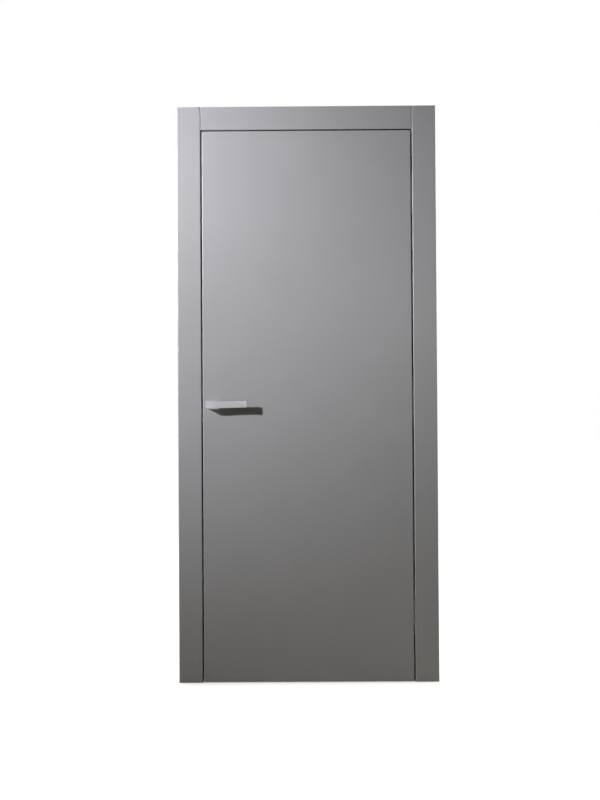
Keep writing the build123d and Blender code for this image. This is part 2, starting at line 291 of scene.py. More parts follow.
def join_grids(grids):
    """One list of points and faces from several (points, faces) pairs."""
    points, faces, start = [], [], 0
    for grid_points, grid_quads in grids:
        flat = grid_points.reshape(-1, 3)
        points.append(flat)
        faces.append(grid_quads + start)
        start += len(flat)
    return np.concatenate(points), np.concatenate(faces)


def make_piece(name, points, faces, material, body, slot_name):
    """A finished piece from points and faces: seams and poles are merged, and faces turned outward."""
    mesh = bpy.data.meshes.new(name)
    mesh.from_pydata(points.reshape(-1, 3).tolist(), [], faces.tolist())
    work = bmesh.new()
    work.from_mesh(mesh)
    bmesh.ops.remove_doubles(work, verts=work.verts, dist=MERGE_WITHIN)
    bmesh.ops.dissolve_degenerate(work, edges=work.edges, dist=SLIVER_UNDER)
    bmesh.ops.recalc_face_normals(work, faces=work.faces)
    work.to_mesh(mesh)
    work.free()
    mesh.shade_smooth()
    mesh.set_sharp_from_angle(angle=math.radians(SHARP_ANGLE))
    mesh.materials.append(material)
    piece = bpy.data.objects.new(name, mesh)
    bpy.context.scene.collection.objects.link(piece)
    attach(piece, body)
    return piece


def arc(centre, radius, start, end, count):
    """Points on a circle: centre plus radius (cos a, sin a), for a from start to end in degrees."""
    angle = np.radians(np.linspace(start, end, count))
    return np.array(centre) + radius * np.stack((np.cos(angle), np.sin(angle)), -1)


def bend(centre, radius, start, end, steps):
    """Evenly spaced points on a circle, without the last one."""
    return arc(centre, radius, start, end, steps + 1)[:-1]


def run(start, end, steps):
    """Evenly spaced points on a straight line, without the last one."""
    share = np.arange(steps)[:, None] / steps
    return np.array(start) * (1 - share) + np.array(end) * share


def inward(path, side):
    """Unit normals of a path in the plane, to its right for side 1 and to its left for side -1."""
    step = np.gradient(path, axis=0)
    step /= np.linalg.norm(step, axis=1)[:, None]
    return side * np.stack((step[:, 1], -step[:, 0]), -1)


# Levers

# Steps along the lever's plan, shared by its two paths so that they match point by point
SIDE_STEPS = 14
ARRIS_STEPS = 8
FLAT_STEPS = 8
BLADE_STEPS = 32
TIP_STEPS = 13
END_STEPS = 2

# Points round an eased arris, and steps across the top and the underside of a slice
ARRIS_POINTS = 7
CAP_STEPS = 7


def lever_outlines(s):
    """The lever's plan as two matched paths, from the rose to the middle of the tip.

    The outer path goes up the head's plain side, round its arris and along the dished show face.
    The inner path goes up the other side, round the inner radius and along the blade's back.
    Both are in (distance from the spindle, distance out from the leaf).
    """
    half = s.head_width / 2
    base = LEAF_FRONT - LEVER_BOX[1].y
    out = LEAF_FRONT - LEVER_BOX[0].y
    reach = LEVER_BOX[1].x - HANDLE_X
    back = out - s.thickness
    dish_start = half / 2
    chord = (reach - dish_start) / 2
    dish_radius = (chord**2 + s.dish**2) / (2 * s.dish)
    dish_x = dish_start + chord
    dish_y = out - s.dish + dish_radius
    tip_x = reach - s.tip_radius
    tip_y = dish_y - math.sqrt((dish_radius + s.tip_radius) ** 2 - (tip_x - dish_x) ** 2)
    turn = math.degrees(math.atan2(dish_y - tip_y, dish_x - tip_x))
    dish_from = math.degrees(math.atan2(out - dish_y, dish_start - dish_x))
    dish_to = turn - 180
    r = s.arris_radius
    middle = (back + out) / 2
    outer = np.concatenate(
        (
            run((-half, base), (-half, out - r), SIDE_STEPS),
            bend((-half + r, out - r), r, 180, 90, ARRIS_STEPS),
            run((-half + r, out), (dish_start, out), FLAT_STEPS),
            bend((dish_x, dish_y), dish_radius, dish_from, dish_to, BLADE_STEPS),
            bend((tip_x, tip_y), s.tip_radius, turn, 0, TIP_STEPS),
            run((reach, tip_y), (reach, middle), END_STEPS),
            [(reach, middle)],
        )
    )
    corner = s.inner_radius
    inner = np.concatenate(
        (
            run((half, base), (half, back - corner), SIDE_STEPS),
            bend((half + corner, back - corner), corner, 180, 90, ARRIS_STEPS + FLAT_STEPS),
            run((half + corner, back), (tip_x, back), BLADE_STEPS),
            bend((tip_x, back + s.tip_radius), s.tip_radius, -90, 0, TIP_STEPS),
            run((reach, back + s.tip_radius), (reach, middle), END_STEPS),
            [(reach, middle)],
        )
    )
    return outer, inner


def lever_grid(s):
    """The lever as upright slices between two matched outlines.

    Each slice is a rounded rectangle. On an arris at angle a, a point lies r(1 - cos a) inside the
    outline and r(1 - sin a) below the top or above the underside. The underside rises evenly from
    the head to the tip, so the blade gets shallower.
    """
    outer, inner = lever_outlines(s)
    outer_in, inner_in = inward(outer, 1), inward(inner, -1)
    outer_in[-1] = inner_in[-1] = (-1.0, 0.0)
    r = s.arris_radius
    turn = np.linspace(0, math.pi / 2, ARRIS_POINTS)
    inset = r * (1 - np.cos(turn))
    drop = r * (1 - np.sin(turn))
    half = s.head_width / 2
    reach = outer[:, 0].max()

    def ring(path, normals):
        return path[:, None, :] + normals[:, None, :] * inset[None, :, None]

    def underside(plan):
        share = np.clip((plan[..., 0] - half) / (reach - half), 0, 1)
        return -s.height / 2 + (s.height - s.tip_height) * share

    def lift(plan, height):
        return np.concatenate((plan, np.broadcast_to(height, plan.shape[:-1])[..., None]), -1)

    out_ring, in_ring = ring(outer, outer_in), ring(inner, inner_in)
    across = np.linspace(0, 1, CAP_STEPS + 1)[1:-1][None, :, None]
    cap = out_ring[:, -1:, :] * (1 - across) + in_ring[:, -1:, :] * across
    top = s.height / 2
    rows = np.concatenate(
        (
            lift(out_ring[:, ::-1], underside(out_ring[:, ::-1]) + drop[::-1]),
            lift(out_ring, top - drop),
            lift(cap, top),
            lift(in_ring[:, ::-1], top - drop[::-1]),
            lift(in_ring, underside(in_ring) + drop),
            lift(cap[:, ::-1], underside(cap[:, ::-1])),
        ),
        1,
    )
    foot = np.repeat(rows[:1].mean(1, keepdims=True), rows.shape[1], 1)
    rows = np.concatenate((foot, rows), 0)
    return rows, grid_faces(rows.shape[0], rows.shape[1], False, True)


def place_lever(grid, side):
    """Turn (along, out, up) into the door's frame, in front for side -1 and behind for side 1."""
    face = LEAF_FRONT if side < 0 else LEAF_BACK
    return np.stack((HANDLE_X + grid[..., 0], face + side * grid[..., 1], HANDLE_Z + grid[..., 2]), -1)


class DOOR_OT_levers(Operator):
    """Put finely rounded levers in place of the plain ones"""

    bl_idname = "door.levers"
    bl_label = "Levers"

    def execute(self, context):
        settings = context.scene.door_handle
        rows, faces = lever_grid(settings)
        metal = bpy.data.materials["satin_handle"]
        for name, side in (("front", -1), ("back", 1)):
            piece = make_piece(
                f"lever_{name}_rounded", place_lever(rows, side), faces, metal, "handle", "handle_metal"
            )
            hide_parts(f"lever_{name}")
        return {"FINISHED"}


# Screws and flanges

# Small fittings, in metres: how deep their feet are sunk, how far a flange laps over its cup's mouth,
# how far the screws sit from each plate's ends, and a grub screw's distance out from the rose and size
BURIED = 0.0004
FLANGE_LIP = 0.0012
FACEPLATE_SCREW_INSET = 0.0125
STRIKE_SCREW_INSET = 0.011
GRUB_OUT = 0.012
GRUB_RADIUS = 0.0026
GRUB_HEIGHT = 0.0003

# A screw head: its shoulder and socket as shares of its radius, and the height where its shoulder starts
SHOULDER_SHARE = 0.22
SHOULDER_START = 0.35
SOCKET_SHARE = 0.42
LOBE_SHARE = 0.15

# A socket's rings from its flared mouth to its floor, as shares of its radius and of the head's height
SOCKET_RINGS = ((1.1, 1.0), (1.0, 0.9), (1.0, 0.12), (0.5, 0.06), (0.0, 0.02))

# How much of a flange's thickness its eased rims take
RIM_EASE = 0.8

# Points round a screw, up its shoulder, up a flange's rim and round a slot's end
SCREW_POINTS = 36
SHOULDER_POINTS = 6
RIM_POINTS = 5
SLOT_END_POINTS = 25


def socket_outline(kind, radius, angle):
    """Radius of a socket's wall at an angle: a hexagon's flats, or six soft lobes."""
    if kind == "hexagon":
        return radius / np.cos((angle + math.pi / 6) % (math.pi / 3) - math.pi / 6)
    return radius * (1 + LOBE_SHARE * np.cos(6 * angle))


def screw_grid(centre, axis, radius, height, kind):
    """A low round head with a socket: rings of (radius, height) about the axis, over all angles.

    The rings go from the buried foot up the side, over a quarter-round shoulder, across the top and
    down the socket to its floor.
    """
    angle = np.linspace(0, 2 * math.pi, SCREW_POINTS, endpoint=False)
    axis = Vector(axis).normalized()
    first = axis.orthogonal().normalized()
    second = axis.cross(first)
    even = np.ones_like(angle)
    rings = [(0 * even, -BURIED), (radius * even, -BURIED)]
    for turn in np.radians(np.linspace(0, 90, SHOULDER_POINTS)):
        spread = radius - radius * SHOULDER_SHARE * (1 - math.cos(turn))
        rings.append((spread * even, height * (SHOULDER_START + (1 - SHOULDER_START) * math.sin(turn))))
    socket = socket_outline(kind, radius * SOCKET_SHARE, angle)
    rings += [(socket * wide, height * high) for wide, high in SOCKET_RINGS]
    out = np.array([ring for ring, _ in rings])
    up = np.array([level for _, level in rings])[:, None]
    grid = (
        np.array(centre)
        + up[..., None] * np.array(axis)
        + (out * np.cos(angle))[..., None] * np.array(first)
        + (out * np.sin(angle))[..., None] * np.array(second)
    )
    return grid, grid_faces(grid.shape[0], grid.shape[1], False, True)


def stadium(half_straight, radius):
    """A round-ended slot's outline about the origin: two half circles with straight sides between."""
    top = arc((0, half_straight), radius, 0, 180, SLOT_END_POINTS)
    bottom = arc((0, -half_straight), radius, 180, 360, SLOT_END_POINTS)
    return np.concatenate((top, bottom))


def flange_grid(centre, face_x, way, outer, inner, thickness):
    """A flat ring between two round-ended outlines: its section, with eased rims, carried round the slot.

    outer and inner are (half straight, radius). The section runs from the buried outer foot, over a
    quarter round, across the top and down a quarter round to the buried inner foot.
    """
    ease = thickness * RIM_EASE
    turn = np.radians(np.linspace(0, 90, RIM_POINTS))
    rim = [(ease * (1 - math.cos(a)), thickness - ease * (1 - math.sin(a))) for a in turn]
    section = [(outer, 0.0, -BURIED)]
    section += [(outer, -inset, height) for inset, height in rim]
    section += [(inner, inset, height) for inset, height in reversed(rim)]
    section += [(inner, 0.0, -BURIED)]
    rings = []
    for (half_straight, radius), offset, height in section:
        across, up = stadium(half_straight, radius + offset).T
        proud = np.full_like(up, face_x + way * height)
        rings.append(np.stack((proud, centre.y + across, centre.z + up), -1))
    grid = np.array(rings)
    return grid, grid_faces(grid.shape[0], grid.shape[1], True, True)


def cup_fittings(node, way, s):
    """A hinge cup's flange and its two screws, on the board's edge at the cup's mouth."""
    low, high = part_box(node)
    centre = (low + high) / 2
    mouth = low.x if way < 0 else high.x
    cup_radius = (high.y - low.y) / 2
    cup_half = (high.z - low.z) / 2 - cup_radius
    inner = (cup_half, cup_radius - FLANGE_LIP)
    outer = (cup_half + s.flange_reach - s.flange_rim, cup_radius + s.flange_rim)
    flange = flange_grid(centre, mouth, way, outer, inner, s.flange_thickness)
    end = cup_half + cup_radius + (s.flange_reach - s.flange_rim) / 2
    screws = [
        screw_grid(
            (mouth + way * s.flange_thickness, centre.y, centre.z + sign * end),
            (way, 0, 0),
            s.screw_radius,
            s.screw_height,
            "lobes",
        )
        for sign in (-1, 1)
    ]
    return flange, screws


class DOOR_OT_hinge_fittings(Operator):
    """Put flanges and screws round the hinge cups"""

    bl_idname = "door.hinge_fittings"
    bl_label = "Hinge flanges and screws"

    def execute(self, context):
        settings = context.scene.door_fittings
        metal = bpy.data.materials["blasted_hinge"]
        bright = bpy.data.materials["bright_screw"]
        for side, body, way in (("jamb", "frame", -1), ("leaf", "leaf", 1)):
            flanges, screws = [], []
            for level in HINGE_LEVELS:
                flange, heads = cup_fittings(f"hinge_{side}_cup_{level}", way, settings)
                flanges.append(flange)
                screws += heads
            make_piece(f"hinge_flanges_{side}", *join_grids(flanges), metal, body, "hinge_metal")
            make_piece(f"hinge_screws_{side}", *join_grids(screws), bright, body, "hinge_metal")
        return {"FINISHED"}


def plate_screws(node, way, inset, s):
    """Two screws in a flat upright plate, one near each end."""
    low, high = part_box(node)
    middle_y = (low.y + high.y) / 2
    face = low.x if way < 0 else high.x
    return [
        screw_grid((face, middle_y, z), (way, 0, 0), s.screw_radius, s.screw_height, "lobes")
        for z in (low.z + inset, high.z - inset)
    ]


def grub_screw(side):
    """A hexagon-socket grub screw under a lever's head."""
    face = LEAF_FRONT if side < 0 else LEAF_BACK
    place = (HANDLE_X, face + side * (ROSE_DEPTH + GRUB_OUT), LEVER_BOX[0].z)
    return screw_grid(place, (0, 0, -1), GRUB_RADIUS, GRUB_HEIGHT, "hexagon")


class DOOR_OT_lock_fittings(Operator):
    """Put screws in the faceplate, the strike plate and the levers"""

    bl_idname = "door.lock_fittings"
    bl_label = "Lock and handle screws"

    def execute(self, context):
        settings = context.scene.door_fittings
        bright = bpy.data.materials["bright_screw"]
        face = plate_screws("lock_faceplate", -1, FACEPLATE_SCREW_INSET, settings)
        strike = plate_screws("strike_plate", 1, STRIKE_SCREW_INSET, settings)
        grubs = [grub_screw(-1), grub_screw(1)]
        make_piece("faceplate_screws", *join_grids(face), bright, "leaf", "lock_metal")
        make_piece("strike_plate_screws", *join_grids(strike), bright, "frame", "lock_metal")
        make_piece("lever_grub_screws", *join_grids(grubs), bright, "handle", "handle_metal")
        return {"FINISHED"}


# Node groups that several finishes share


def new_group(name, inputs, outputs):
    """An empty shader node group: its inputs are (name, kind, default), its outputs (name, kind)."""
    tree = bpy.data.node_groups.new(name, "ShaderNodeTree")
    for label, kind, default in inputs:
        socket = tree.interface.new_socket(name=label, in_out="INPUT", socket_type=kind)
        if default is not None:
            socket.default_value = default
    for label, kind in outputs:
        tree.interface.new_socket(name=label, in_out="OUTPUT", socket_type=kind)
    return tree, tree.nodes.new("NodeGroupInput"), tree.nodes.new("NodeGroupOutput")


def feed(tree, socket, value):
    """Give a socket its value: a link where the value is another node's output, else a constant."""
    if isinstance(value, bpy.types.NodeSocket):
        tree.links.new(value, socket)
    else:
        socket.default_value = value


def add(tree, kind, inputs=None, **properties):
    """A new node with its properties, and its inputs given by name or number as a dict."""
    node = tree.nodes.new(kind)
    for key, value in properties.items():
        setattr(node, key, value)
    for key, value in (inputs or {}).items():
        feed(tree, node.inputs[key], value)
    return node


def remap(tree, value, given, wanted):
    """A value stretched from one (low, high) range to another and held at its ends."""
    ends = {"From Min": given[0], "From Max": given[1], "To Min": wanted[0], "To Max": wanted[1]}
    return add(tree, "ShaderNodeMapRange", clamp=True, inputs={"Value": value, **ends}).outputs["Result"]


def maths(tree, operation, first, second=0.0):
    """One sum of two values."""
    return add(tree, "ShaderNodeMath", operation=operation, inputs={0: first, 1: second}).outputs[0]


def vector_maths(tree, operation, first, second=(0.0, 0.0, 0.0)):
    """One sum of two vectors, as a node, because some sums give a vector and some a value."""
    return add(tree, "ShaderNodeVectorMath", operation=operation, inputs={0: first, 1: second})


def noise(tree, place, scale, detail=2.0, roughness=0.5, distortion=0.0):
    """Soft random lumps between 0 and 1 at a place, so many to the metre."""
    look = {"Scale": scale, "Detail": detail, "Roughness": roughness, "Distortion": distortion}
    return add(tree, "ShaderNodeTexNoise", inputs={"Vector": place, **look}).outputs[0]


def build_sprayed_film():
    """Ripples of a sprayed film, with broad patches where it dried a little more or less matt."""
    tree, given, out = new_group(
        "sprayed_film",
        [
            ("Position", "NodeSocketVector", None),
            ("Ripples per metre", "NodeSocketFloat", 550.0),
            ("Patches per metre", "NodeSocketFloat", 6.0),
        ],
        [("Height", "NodeSocketFloat"), ("Patch", "NodeSocketFloat"), ("Fine", "NodeSocketFloat")],
    )
    place = given.outputs["Position"]
    ripples = given.outputs["Ripples per metre"]
    patch = noise(tree, place, given.outputs["Patches per metre"], detail=4.0, roughness=0.55)
    tree.links.new(noise(tree, place, ripples, roughness=0.45), out.inputs["Height"])
    tree.links.new(remap(tree, patch, (0.3, 0.7), (0.0, 1.0)), out.inputs["Patch"])
    tree.links.new(noise(tree, place, maths(tree, "MULTIPLY", ripples, 3.1)), out.inputs["Fine"])


def build_drawn_grain():
    """Fine grain: noise read at stretched points, so a small Stretch draws it out along that axis."""
    tree, given, out = new_group(
        "drawn_grain",
        [("Position", "NodeSocketVector", None), ("Stretch", "NodeSocketVector", (1.0, 1.0, 1.0))],
        [("Height", "NodeSocketFloat"), ("Streak", "NodeSocketFloat")],
    )
    drawn = vector_maths(tree, "MULTIPLY", given.outputs["Position"], given.outputs["Stretch"]).outputs[0]
    streak = noise(tree, drawn, 0.23)
    tree.links.new(noise(tree, drawn, 1.0, detail=3.0, roughness=0.6), out.inputs["Height"])
    tree.links.new(remap(tree, streak, (0.3, 0.7), (0.0, 1.0)), out.inputs["Streak"])


def build_hand_marks():
    """Soft smudges where hands go, on both sides of the door.

    They are strongest in front of and behind one place, and gone at a distance from it.
    """
    tree, given, out = new_group(
        "hand_marks",
        [
            ("Position", "NodeSocketVector", None),
            ("Place", "NodeSocketVector", (HANDLE_X, 0.0, HANDLE_Z)),
            ("Reach", "NodeSocketFloat", 0.22),
            ("Smudges per metre", "NodeSocketFloat", 45.0),
        ],
        [("Mark", "NodeSocketFloat")],
    )
    flat = vector_maths(tree, "MULTIPLY", given.outputs["Position"], (1.0, 0.0, 1.0)).outputs[0]
    away = vector_maths(tree, "DISTANCE", flat, given.outputs["Place"]).outputs["Value"]
    near = remap(tree, away, (0.0, given.outputs["Reach"]), (1.0, 0.0))
    count = given.outputs["Smudges per metre"]
    smudge = noise(tree, given.outputs["Position"], count, detail=5.0, roughness=0.6, distortion=0.6)
    blot = remap(tree, smudge, (0.42, 0.66), (0.6, 1.0))
    tree.links.new(maths(tree, "MULTIPLY", near, blot), out.inputs["Mark"])


def build_settled_dust():
    """Dust on faces that look up, and a faint band of scuffs and dust low down by the floor."""
    tree, given, out = new_group(
        "settled_dust",
        [("Position", "NodeSocketVector", None), ("Floor band", "NodeSocketFloat", 0.12)],
        [("Dust", "NodeSocketFloat")],
    )
    surface = add(tree, "ShaderNodeNewGeometry")
    facing = add(tree, "ShaderNodeSeparateXYZ", inputs={"Vector": surface.outputs["Normal"]})
    upward = remap(tree, facing.outputs["Z"], (0.6, 1.0), (0.0, 0.8))
    place = add(tree, "ShaderNodeSeparateXYZ", inputs={"Vector": given.outputs["Position"]})
    low_down = remap(tree, place.outputs["Z"], (0.0, given.outputs["Floor band"]), (0.5, 0.0))
    cloud = noise(tree, given.outputs["Position"], 38.0, detail=6.0, roughness=0.65)
    patchy = remap(tree, cloud, (0.38, 0.72), (0.25, 1.0))
    where = maths(tree, "MAXIMUM", upward, low_down)
    tree.links.new(maths(tree, "MULTIPLY", where, patchy), out.inputs["Dust"])


def build_edge_highlight_and_polish():
    """Rounded edges, found by how far a face turns from all three of the piece's own directions. The enamel
    paints these edges lighter as a painted highlight, and makes them glossier.

    The largest part of the facing is 1 on a square face and 0.71 in the middle of a rounded edge.
    """
    tree, given, out = new_group(
        "edge_highlight_and_polish",
        [("Position", "NodeSocketVector", None), ("Facing", "NodeSocketVector", None)],
        [("Edge", "NodeSocketFloat")],
    )
    size = vector_maths(tree, "ABSOLUTE", given.outputs["Facing"]).outputs[0]
    part = add(tree, "ShaderNodeSeparateXYZ", inputs={"Vector": size})
    level = maths(tree, "MAXIMUM", part.outputs["X"], part.outputs["Y"])
    turned = remap(tree, maths(tree, "MAXIMUM", level, part.outputs["Z"]), (0.8, 0.985), (1.0, 0.0))
    edge_patches = noise(tree, given.outputs["Position"], 11.0, detail=4.0, roughness=0.6)
    uneven = remap(tree, edge_patches, (0.35, 0.65), (0.7, 1.0))
    tree.links.new(maths(tree, "MULTIPLY", turned, uneven), out.inputs["Edge"])


# Finishes

# Where along the lever a hand dulls it most and its painted shade is deepest, as a share of its reach
GRIP_SHARE = 0.85
GRIP_X = HANDLE_X + GRIP_SHARE * (LEVER_BOX[1].x - HANDLE_X)

# Enamel: how far patches shift its colour and sheen, and what each effect adds to its roughness
PATCH_TINT = 0.015
PATCH_SHEEN = 0.025
FINE_SHEEN = 0.03
MARK_SHEEN = -0.06
EDGE_SHEEN = -0.08
DUST_SHEEN = 0.25
DUST_COVER = 0.22
DUST_COLOUR = (0.42, 0.41, 0.39)

# Metal: how far streaks shift its colour and sheen, and how handling dulls it where it is held; the darker
# colour there is partly hand grime and partly painted shade
STREAK_TINT = 0.06
STREAK_SHEEN = 0.05
HELD_GRIME_AND_SHADE = 0.6
HELD_SHEEN = 0.1
HELD_REACH = 0.11
HELD_GRIME_AND_SHADE_SHARE = 0.85

# Metals that no hand touches: colour, roughness, grain per metre along x, y and z, and grain depth
METALS = {
    "blasted_hinge": ((0.45, 0.45, 0.46), 0.46, (1200.0, 1200.0, 1200.0), 0.00001),
    "plated_lock": ((0.55, 0.55, 0.56), 0.3, (2600.0, 2600.0, 70.0), 0.000008),
    "dark_latch": ((0.2, 0.2, 0.21), 0.36, (900.0, 900.0, 900.0), 0.000006),
    "bright_screw": ((0.62, 0.62, 0.63), 0.26, (900.0, 900.0, 900.0), 0.000004),
}
HANDLE_GRAIN = (90.0, 2600.0, 2600.0)
HANDLE_GRAIN_DEPTH = 0.000006


def new_material(name):
    """A new material's node tree and shader, and the object's own position."""
    material = bpy.data.materials.new(name)
    material.use_nodes = True
    tree = material.node_tree
    tree.nodes.clear()
    shader = tree.nodes.new("ShaderNodeBsdfPrincipled")
    output = tree.nodes.new("ShaderNodeOutputMaterial")
    tree.links.new(shader.outputs["BSDF"], output.inputs["Surface"])
    position = tree.nodes.new("ShaderNodeTexCoord").outputs["Object"]
    return tree, shader, position


def use_group(tree, name, position, **values):
    """A shared node group placed in a material with its own values."""
    group = bpy.data.node_groups[name]
    inputs = {"Position": position}
    inputs |= {key.replace("_", " "): value for key, value in values.items()}
    return add(tree, "ShaderNodeGroup", node_tree=group, inputs=inputs)


def tint(tree, shader, share, base, other):
    """Base Color mixed from base towards other by a share that varies over the surface."""
    mix = add(tree, "ShaderNodeMix", data_type="RGBA", inputs={"Factor": share})
    for index, colour in ((6, base), (7, other)):
        feed(tree, mix.inputs[index], (*colour, 1.0) if isinstance(colour, tuple) else colour)
    tree.links.new(mix.outputs[2], shader.inputs["Base Color"])
    return mix.outputs[2]


def bumped(tree, shader, height, depth):
    """A bump of that depth in metres from a height between 0 and 1."""
    bump = add(tree, "ShaderNodeBump", inputs={"Height": height, "Distance": depth, "Strength": 1.0})
    tree.links.new(bump.outputs["Normal"], shader.inputs["Normal"])


def scaled(colour, factor):
    """A colour made lighter or darker."""
    return tuple(min(1.0, c * factor) for c in colour)


def enamel_material(s):
    """Sprayed satin lacquer on board: ripples, patches of sheen, rounded edges that are glossier and painted
    lighter as a painted highlight, hand marks and dust.
    """
    tree, shader, position = new_material("sprayed_enamel")
    base = tuple(s.colour)
    film = use_group(tree, "sprayed_film", position, Ripples_per_metre=1.0 / s.peel_size)
    marks = use_group(tree, "hand_marks", position)
    dust = use_group(tree, "settled_dust", position)
    facing = tree.nodes.new("ShaderNodeTexCoord").outputs["Normal"]
    edges = use_group(tree, "edge_highlight_and_polish", position, Facing=facing)
    patch = film.outputs["Patch"]
    shade = tint(tree, shader, patch, scaled(base, 1 - PATCH_TINT), scaled(base, 1 + PATCH_TINT))
    # Painted highlight: rounded edges are painted lighter, in place of the light that the edges catch
    shade = tint(tree, shader, edges.outputs["Edge"], shade, scaled(base, s.painted_edge_highlight))
    tint(tree, shader, maths(tree, "MULTIPLY", dust.outputs["Dust"], DUST_COVER), shade, DUST_COLOUR)
    sheen = remap(tree, patch, (0.0, 1.0), (s.roughness - PATCH_SHEEN, s.roughness + PATCH_SHEEN))
    for effect, change in (
        (film.outputs["Fine"], FINE_SHEEN),
        (marks.outputs["Mark"], MARK_SHEEN),
        (edges.outputs["Edge"], EDGE_SHEEN),
        (dust.outputs["Dust"], DUST_SHEEN),
    ):
        sheen = maths(tree, "ADD", sheen, maths(tree, "MULTIPLY", effect, change))
    tree.links.new(sheen, shader.inputs["Roughness"])
    bumped(tree, shader, film.outputs["Height"], s.peel_depth)
    shader.inputs["Specular IOR Level"].default_value = 0.25


def board_material():
    """Bare particle board: pressed chips of several browns, rough and slightly pitted."""
    tree, shader, position = new_material("particle_board")
    chips = add(tree, "ShaderNodeTexVoronoi", inputs={"Vector": position, "Scale": 420.0})
    tone = add(tree, "ShaderNodeSeparateColor", inputs={"Color": chips.outputs["Color"]})
    film = use_group(tree, "sprayed_film", position, Ripples_per_metre=900.0, Patches_per_metre=14.0)
    dark_chip, pale_chip, glue = (0.36, 0.25, 0.15), (0.66, 0.52, 0.35), (0.5, 0.38, 0.25)
    shade = tint(tree, shader, tone.outputs["Red"], dark_chip, pale_chip)
    tint(tree, shader, maths(tree, "MULTIPLY", film.outputs["Patch"], 0.4), shade, glue)
    tree.links.new(remap(tree, tone.outputs["Green"], (0.0, 1.0), (0.75, 0.92)), shader.inputs["Roughness"])
    bumped(tree, shader, film.outputs["Height"], 0.0003)


def metal_material(name, base, roughness, stretch, grain_depth, grime_and_shade_share=0.0):
    """Metal with fine grain and streaks of sheen, rougher and darker where a hand holds it; the darker
    colour is partly hand grime and partly painted shade.

    stretch is the grain per metre along each axis: a small number draws it out along that axis.
    """
    tree, shader, position = new_material(name)
    grain = use_group(tree, "drawn_grain", position, Stretch=stretch)
    grip = (GRIP_X, 0.0, HANDLE_Z)
    marks = use_group(tree, "hand_marks", position, Smudges_per_metre=160.0, Reach=HELD_REACH, Place=grip)
    streak, held_grime_and_shade = grain.outputs["Streak"], marks.outputs["Mark"]
    shade = tint(tree, shader, streak, scaled(base, 1 - STREAK_TINT), scaled(base, 1 + STREAK_TINT))
    # Partly painted shade: where it is held the metal is painted darker, for hand grime and in place of the
    # dark reflection along the blade's middle
    tint(tree, shader, maths(tree, "MULTIPLY", held_grime_and_shade, grime_and_shade_share), shade, scaled(base, HELD_GRIME_AND_SHADE))
    sheen = remap(tree, streak, (0.0, 1.0), (roughness - STREAK_SHEEN, roughness + STREAK_SHEEN))
    sheen = maths(tree, "ADD", sheen, maths(tree, "MULTIPLY", held_grime_and_shade, HELD_SHEEN))
    tree.links.new(sheen, shader.inputs["Roughness"])
    bumped(tree, shader, grain.outputs["Height"], grain_depth)
    shader.inputs["Metallic"].default_value = 1.0


def rubber_material():
    """Matt extruded rubber: die lines along its length and a bloom in patches."""
    tree, shader, position = new_material("extruded_rubber")
    grain = use_group(tree, "drawn_grain", position, Stretch=(1500.0, 1500.0, 60.0))
    film = use_group(tree, "sprayed_film", position, Ripples_per_metre=800.0, Patches_per_metre=20.0)
    black, bloom = (0.022, 0.022, 0.024), (0.038, 0.038, 0.04)
    tint(tree, shader, film.outputs["Patch"], black, bloom)
    tree.links.new(remap(tree, grain.outputs["Streak"], (0.0, 1.0), (0.62, 0.8)), shader.inputs["Roughness"])
    bumped(tree, shader, grain.outputs["Height"], 0.00005)
    shader.inputs["Specular IOR Level"].default_value = 0.3


SHARED_EFFECTS = (
    build_sprayed_film,
    build_drawn_grain,
    build_hand_marks,
    build_settled_dust,
    build_edge_highlight_and_polish,
)

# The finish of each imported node, by how its name starts
FINISH_OF = {
    "sprayed_enamel": ("jamb_", "casing_", "leaf_skin", "leaf_stile", "leaf_rail"),
    "particle_board": ("leaf_core",),
    "satin_handle": ("lever_", "rose_", "spindle"),
    "blasted_hinge": ("hinge_",),
    "plated_lock": ("lock_", "strike_"),
    "dark_latch": ("latch_",),
    "extruded_rubber": ("seal_",),
}


class DOOR_OT_finishes(Operator):
    """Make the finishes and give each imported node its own"""

    bl_idname = "door.finishes"
    bl_label = "Finishes"

    def execute(self, context):
        enamel, handle = context.scene.door_enamel, context.scene.door_handle
        for build in SHARED_EFFECTS:
            build()
        enamel_material(enamel)
        board_material()
        rubber_material()
        look = (tuple(handle.colour), handle.roughness, HANDLE_GRAIN, HANDLE_GRAIN_DEPTH)
        metal_material("satin_handle", *look, grime_and_shade_share=HELD_GRIME_AND_SHADE_SHARE)
        for name, look in METALS.items():
            metal_material(name, *look)
        for name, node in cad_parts.items():
            finish = next((f for f, starts in FINISH_OF.items() if name.startswith(starts)), None)
            if finish is None:
                raise RuntimeError(f"no finish is named for {name}")
            material = bpy.data.materials[finish]
            if not node.material_slots:
                node.data.materials.append(material)
            for slot in node.material_slots:
                slot.material = material
        return {"FINISHED"}


# Stage

# The floor's glow to the camera: its level by the door and far off, the distances in metres between which it
# rises, and its level where something stands within the contact's reach, which is a painted contact shade
GLOW_NEAR = 0.93
GLOW_FAR = 1.0
GLOW_FROM = 1.0
GLOW_TO = 3.5
CONTACT_SHADE_GLOW = 0.03
CONTACT_SHADE_REACH = 0.1

# The floor's two colours, which its patches mix
FLOOR_COLOURS = ((0.69, 0.66, 0.5), (0.71, 0.68, 0.52))

